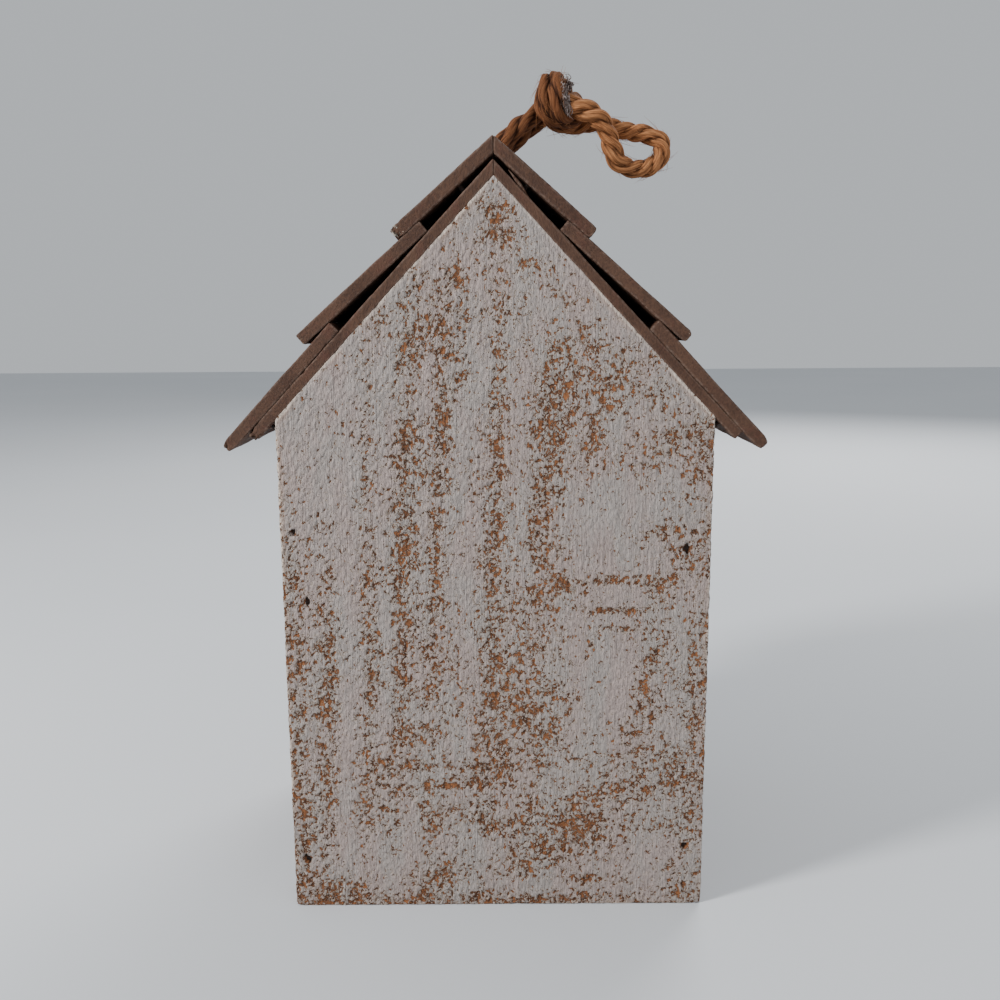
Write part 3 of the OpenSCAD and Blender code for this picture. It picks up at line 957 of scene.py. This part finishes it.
# Where the rope is thicker: a place near it, how much thicker, and over how many mm
SWELLINGS = [
    ((-38, 2, 1.5), 0.14, 4), ((-26.5, 5, 14.6), 0.2, 5), ((-30.5, 5, 12.8), 0.08, 5),
]
YARN_LEAN = 31  # degrees between a strand's yarns and its middle line
HAIR_SIDES = 4


def from_hinge(points):
    """Points given from the hinge, as places in mm."""
    return np.array(points, float) + np.array(HINGE) / MM


def along_path(path):
    """How far it is along the path to each of its points."""
    steps = norm(np.diff(path, axis=0), axis=1)
    return np.concatenate([[0], np.cumsum(steps)])


def mixed(pair, start, end, t):
    """The first of the pair where t is start, the second where it is end."""
    return ((end - t) * pair[0] + (t - start) * pair[1]) / (end - start)


def smooth_path(points, step):
    """A smooth curve through the points, as places a step apart."""
    points = np.asarray(points, float)
    ends = np.vstack([2 * points[0] - points[1], points, 2 * points[-1] - points[-2]])
    dense = []
    for i in range(len(points) - 1):
        four, knots = ends[i : i + 4], [0.0]
        for a, b in zip(four, four[1:]):
            knots.append(knots[-1] + math.sqrt(norm(b - a)))
        for t in np.linspace(knots[1], knots[2], 24, endpoint=False):
            # Three mixes of neighbours, then two of those, then one
            a = [mixed(four[k : k + 2], knots[k], knots[k + 1], t) for k in range(3)]
            b = [mixed(a[k : k + 2], knots[k], knots[k + 2], t) for k in range(2)]
            dense.append(mixed(b, knots[1], knots[2], t))
    dense = np.array(dense + [points[-1]])
    gone = along_path(dense)
    marks = np.linspace(0, gone[-1], max(2, round(gone[-1] / step) + 1))
    return np.stack([np.interp(marks, gone, dense[:, k]) for k in range(3)], axis=1)


def frames_along(path):
    """Two directions across the path at each point, carried along it without twist."""
    ahead = unit(np.gradient(path, axis=0))
    side = np.cross(ahead[0], (0, 1, 0))
    if norm(side) < 0.1:
        side = np.cross(ahead[0], (1, 0, 0))
    sides = [unit(side)]
    for a in ahead[1:]:
        sides.append(unit(sides[-1] - a * (sides[-1] @ a)))
    sides = np.array(sides)
    return ahead, sides, np.cross(ahead, sides)


def slow_wave(gone, seed):
    """An uneven wave between about -1 and 1 along the rope."""
    dice = random.Random(seed)
    total = np.zeros(len(gone))
    for length in (9, 14, 23, 37):
        total += np.sin(gone * 2 * math.pi / length + dice.uniform(0, 6.3)) / 2.2
    return total


def rings(path, side, up, radius, turns):
    """A ring of points round each point of the path, which lie radius away at the turns."""
    return (
        path[:, None, :]
        + (radius * np.cos(turns))[:, :, None] * side[:, None, :]
        + (radius * np.sin(turns))[:, :, None] * up[:, None, :]
    )


def laid_rope(path, swell, lay, dark, sides=30):
    """Three strands of twisted yarns round the path, as places, faces and attributes."""
    gone = along_path(path)
    ahead, side, up = frames_along(path)
    turned = np.concatenate([[0], np.cumsum(np.diff(gone) / lay[1:])])
    turns = np.linspace(0, 2 * math.pi, sides, endpoint=False)
    places, faces, fibre, groove = [], [], [], []
    for strand in range(3):
        angle = 2 * math.pi * (strand / 3 - turned)
        angle = angle + 0.25 * slow_wave(gone, 40)
        out = np.cos(angle)[:, None] * side + np.sin(angle)[:, None] * up
        size = swell * (1 + 0.05 * slow_wave(gone, 50 + strand))
        middle = path + out * (STRAND_OFF * size)[:, None]
        strand_ahead = unit(np.gradient(middle, axis=0))
        across = unit(out - strand_ahead * np.sum(out * strand_ahead, axis=1)[:, None])
        other = np.cross(strand_ahead, across)
        twist = gone * math.tan(math.radians(YARN_LEAN)) / STRAND_R
        phase = turns[None, :] - twist[:, None]
        uneven = 0.8 * slow_wave(gone, 60 + strand)[:, None]
        yarn = 0.5 + 0.5 * np.cos(YARNS * phase + uneven)
        radius = STRAND_R * size[:, None] * (0.88 + 0.15 * yarn**0.6)
        ring = rings(middle, across, other, radius, turns)
        places.append(ring)
        faces.extend(tube_faces(len(path), sides, strand * len(path) * sides))
        round_it = [1.6 * np.cos(phase) + 9 * strand, 1.6 * np.sin(phase)]
        along = np.repeat(gone[:, None], sides, axis=1) * 0.09
        fibre.append(np.stack(round_it + [along], axis=-1))
        far = norm(ring - path[:, None, :], axis=-1) / (STRAND_OFF + STRAND_R)
        groove.append(far / size[:, None] - 0.2 * (1 - yarn) ** 2)
    places = np.concatenate(places).reshape(-1, 3)
    attributes = {
        "fibre": np.concatenate(fibre).reshape(-1, 3),
        "groove": np.concatenate(groove).reshape(-1),
        "dark": np.tile(np.repeat(dark, sides), 3),
    }
    return places, faces, attributes


def jute(t):
    """Coarse tan fibre, with painted shade in the grooves between strands and yarns."""
    fibre = t.attribute("fibre", vector=True)
    groove = t.attribute("groove")
    streak = t.noise(fibre, 3.6, 4, 0.65)
    fine = t.noise(fibre, 8.0, 3, 0.6)
    patch = t.noise(fibre, 0.45)
    tone = t.ramp(t.plus(t.times(streak, 0.65), t.times(fine, 0.35)), 0.4, 0.6)
    colour = t.blend(tone, (0.18, 0.058, 0.018, 1), (0.59, 0.25, 0.1, 1))
    colour = t.blend(t.ramp(patch, 0.35, 0.65, 0, 0.45), colour, (0.38, 0.172, 0.07, 1))
    # Where dark is 1, in the knot and the legs, the rope is darker and browner than in the loop: partly painted
    # shade of the tight knot, partly a browner colour.
    dark = t.attribute("dark")
    colour = t.scaled(colour, t.ramp(dark, 0, 1, 1.12, 0.68))
    colour = t.blend(t.times(dark, 0.55), colour, (0.11, 0.03, 0.009, 1))
    # Painted shade in the grooves, a little stronger in the knot.
    deep = t.times(t.ramp(groove, 0.86, 0.6), t.ramp(dark, 0, 1, 0.72, 0.95))
    colour = t.blend(deep, colour, (0.05, 0.016, 0.006, 1))
    height = t.plus(t.times(streak, 0.35), t.times(fine, 0.25))
    roughness = t.ramp(fine, 0.3, 0.7, 0.8, 0.95)
    return colour, roughness, height


def lint(t):
    """Frayed grey fibre with brown among it."""
    fibre = t.attribute("fibre", vector=True)
    tone = t.ramp(t.noise(fibre, 1.0), 0.38, 0.62)
    colour = t.blend(tone, (0.15, 0.095, 0.075, 1), (0.46, 0.38, 0.35, 1))
    fine = t.noise(fibre, 4.0)
    return colour, t.ramp(fine, 0.3, 0.7, 0.85, 0.98), fine


def hairs(name, routes, radius, body, finish):
    """Thin tapered fibres, one along each route of places in mm."""
    places, faces, fibre = [], [], []
    turns = 2 * math.pi * np.arange(HAIR_SIDES) / HAIR_SIDES
    for number, route in enumerate(routes):
        route = smooth_path(route, 0.35)
        _, side, up = frames_along(route)
        share = np.linspace(0, 1, len(route))
        thick = radius * (1 - 0.75 * share**2)
        faces.extend(tube_faces(len(route), HAIR_SIDES, len(places)))
        places.extend(rings(route, side, up, thick[:, None], turns).reshape(-1, 3))
        fibre += [(number * 0.7, s * 2, k * 0.1) for s in share for k in range(HAIR_SIDES)]
    attributes = {"fibre": fibre, "groove": 1, "dark": 0}
    return mesh_piece(name, places, faces, body, finish, attributes)


def stray_fibres(path, first, last, count, seed):
    """Routes of fibres that leave the rope between two shares of its length."""
    dice = random.Random(seed)
    ahead, side, up = frames_along(path)
    routes = []
    for _ in range(count):
        i = int(dice.uniform(first, last) * (len(path) - 1))
        a = dice.uniform(0, 2 * math.pi)
        out = side[i] * math.cos(a) + up[i] * math.sin(a)
        way = ahead[i] * dice.choice((-1, 1))
        start = path[i] + out * (ROPE_D / 2 - 0.35)
        length = dice.uniform(1.5, 5)
        lift = dice.uniform(0.04, 0.35) if dice.random() < 0.95 else dice.uniform(0.6, 1.1)
        bend = np.array([dice.uniform(-1, 1) for _ in range(3)]) * 0.35
        points = [start]
        for share in (0.35, 0.7, 1.0):
            rise = out * length * lift * share * (1.3 - 0.5 * share)
            points.append(start + way * length * share + rise + bend * length * share**2)
        routes.append(points)
    return routes


def frayed_end(dice, count, start, end, spread, length):
    """Short tangled fibres round the line from start to end."""
    routes = []
    start, end = np.array(start, float), np.array(end, float)
    for _ in range(count):
        share = dice.random()
        root = start + (end - start) * share
        root = root + np.array([dice.gauss(0, s) for s in spread])
        way = unit(end - start) * dice.choice((-1, 1)) * length * dice.uniform(0.4, 1)
        curl = [np.array([dice.gauss(0, 0.55) for _ in range(3)]) for _ in range(3)]
        shares = (0.35, 0.7, 1)
        routes.append([root] + [root + way * k + c for k, c in zip(shares, curl)])
    return routes


def knot_fuzz():
    """The grey frayed tuft that sits in the knot, and the dark one on top of it."""
    dice = random.Random(8)
    face = frayed_end(dice, 150, (-21.2, 7.6, 19.6), (-22.4, 7.4, 14), (0.5, 0.5, 0.5), 3.2)
    crown = frayed_end(dice, 34, (-22.1, 4.5, 21.4), (-23.5, 3.5, 21.6), (0.4, 0.6, 0.4), 1.8)
    wisps = frayed_end(dice, 5, (-22.5, 4, 21.6), (-22.5, 4, 23.4), (0.3, 0.4, 0.3), 1.8)
    routes = [from_hinge(r) for r in face + crown + wisps]
    return hairs("rope_fuzz", routes, 0.16, "hanger", LINT)


def stopper_knot():
    """The overhand knot inside the roof, as a trefoil of the same rope."""
    low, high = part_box("stopper_knot")
    middle = (np.array(low) + np.array(high)) / 2 / MM
    size = (high.z - low.z) / 2 / MM - ROPE_D / 2 + 0.15
    t = np.linspace(0, 2 * math.pi, 150)
    x, y = np.sin(t) + 2 * np.sin(2 * t), np.cos(t) - 2 * np.cos(2 * t)
    curve = np.stack([x, y, -1.6 * np.sin(3 * t)], axis=1)
    path = middle + curve * size / 3.0
    even = np.ones(len(path))
    places, faces, attributes = laid_rope(path, 0.95 * even, LAY * even, 0.5 * even, 18)
    name = "rope_stopper_knot"
    piece = mesh_piece(name, places, faces, "house", JUTE, attributes)
    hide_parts("stopper_knot")
    return piece


def hanger_rope():
    """The whole rope: up from the stopper knot, through the knot, round and back."""
    near = INSIDE + NEAR_LEG + NEAR_KNOT
    far = [(x, -y, z) for x, y, z in INSIDE] + FAR_LEG + FAR_KNOT
    path = smooth_path(from_hinge(near + LOOP + far[::-1]), 0.45)
    gone = along_path(path)
    swell = np.ones(len(path))
    for at, amount, spread in SWELLINGS:
        nearest = np.argmin(norm(path - from_hinge([at])[0], axis=1))
        swell += amount * np.exp(-(((gone - gone[nearest]) / spread) ** 2))
    # The loop is at the middle of the rope's length, and its lay is still tight
    opened = np.clip((np.abs(gone - gone[-1] / 2) - 36) / 12, 0, 1)
    lay = LAY + (LOOSE_LAY - LAY) * opened
    # opened also darkens the knot and the legs in the rope's colour, partly as painted shade.
    places, faces, attributes = laid_rope(path, swell, lay, opened)
    piece = mesh_piece("rope_hanger", places, faces, None, JUTE, attributes)
    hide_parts("hanger_stub", "hanger_legs", "hanger_knot", "hanger_loop")
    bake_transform(piece)
    strays = stray_fibres(path, 0.17, 0.83, 650, 3)
    fibres = hairs("rope_fibres", strays, 0.055, "hanger", JUTE)
    stopper_knot()
    knot_fuzz()


# ---- small parts


def steel(t):
    place = t.node("ShaderNodeTexCoord").outputs["Object"]
    place = t.stretched(place, (1 / MM, 1 / MM, 1 / MM))
    rust = t.ramp(t.noise(place, 1.4, 4, 0.65), 0.42, 0.6)
    # Rusty steel, painted much darker than bare steel as shade for the nails sunk in their holes.
    colour = t.blend(rust, (0.022, 0.02, 0.018, 1), (0.045, 0.02, 0.012, 1))
    fine = t.noise(place, 5.0, 3, 0.6)
    return colour, t.ramp(rust, 0, 1, 0.5, 0.85), t.times(fine, 0.08)


def nails():
    for place in ("back", "front", "floor", "deck", "slat"):
        materials = frame["nodes"][f"{place}_nails"].data.materials
        materials.clear()
        materials.append(STEEL)


def perch():
    """A turned dowel with a soft tip, a little uneven along its length."""
    (y0, y1), (z0, z1) = reach("perch", Y), reach("perch", Z)
    radius, length = (z1 - z0) / 2, y1 - y0
    tip = 0.62 * radius
    profile = [(radius, z) for z in np.linspace(0, length - tip, 60)]
    for a in np.radians(np.arange(8, 90, 8)):
        profile.append((radius * math.cos(a), length - tip * (1 - math.sin(a))))
    profile = [(r * (1 + 0.008 * math.sin(z * 0.9) - 0.006), z) for r, z in profile]
    places, faces = lathe(profile, 40)
    co = np.stack([places[:, 0], y1 - places[:, 2], places[:, 1]], axis=1)
    co[:, 2] += (z0 + z1) / 2
    house_piece(
        "perch_dowel", "perch", co, faces, DARK,
        rest=places[:, [0, 2, 1]] + 200,
        wear=0.3 + 0.5 * np.exp(-(length - places[:, 2]) / 2),
        edge=np.abs(length - 0.5 * radius - places[:, 2]),
    )


def splinter():
    """A pale sliver that has lifted off the deck under the upper slat."""
    y = BACK_Y - 0.6
    line = [(-4.0, y, 209.7), (-5.8, y + 0.2, 207.4), (-7.5, y, 205.2), (-9.3, y - 0.2, 202.7)]
    route = smooth_path(line, 0.4)
    _, side, up = frames_along(route)
    share = np.linspace(0, 1, len(route))
    wide = 0.14 + 0.34 * np.sin(share * math.pi) ** 2
    corners = ((1, 0.35), (0.2, 0.6), (-1, 0.3), (-0.3, -0.5))
    places = [
        point + (s * a + u * b) * w
        for point, s, u, w in zip(route, side, up, wide)
        for a, b in corners
    ]
    faces = tube_faces(len(route), len(corners))
    attributes = {"rest": places, "wear": 0.4, "edge": 0}
    name, slot = "roof_splinter", "brown_stain"
    mesh_piece(name, places, faces, "house", BROWN, attributes, smooth=False)


def floor(t):
    place = t.node("ShaderNodeTexCoord").outputs["Object"]
    tone = t.noise(place, 3.0, 3, 0.5)
    colour = t.blend(tone, (0.60, 0.62, 0.64, 1), (0.66, 0.67, 0.69, 1))
    fine = t.noise(place, 900.0)
    return colour, t.ramp(tone, 0.3, 0.7, 0.85, 0.95), t.times(fine, 0.02)


def add_floor():
    half = FLOOR_SIZE / 2
    mesh = bpy.data.meshes.new("floor")
    corners = [(-half, -half, 0), (half, -half, 0), (half, half, 0), (-half, half, 0)]
    mesh.from_pydata(corners, [], [(0, 1, 2, 3)])
    mesh.materials.append(material("floor", floor))
    added("studio_floor", mesh)


add_camera()
add_light()
add_floor()
JUTE = material("jute", jute)
LINT = material("lint", lint)
PAINTED = material("painted_wood", painted_wood)
BROWN = material("brown_wood", brown_wood)
STEEL = material("nail_steel", steel)
PAINT_RELIEF = relief("paint_relief", paint_relief)
STAIN_RELIEF = relief("stain_relief", stain_relief)
# The slot, material and relief of a house piece
WHITE = ("white_paint", PAINTED, PAINT_RELIEF)
DARK = ("brown_stain", BROWN, STAIN_RELIEF)
hanger_rope()
back_panel()
front_panel()
side_wall("board_left", "left_wall", 2)
side_wall("board_right", "right_wall", 3)
floor_board()
roof()
perch()
splinter()
nails()
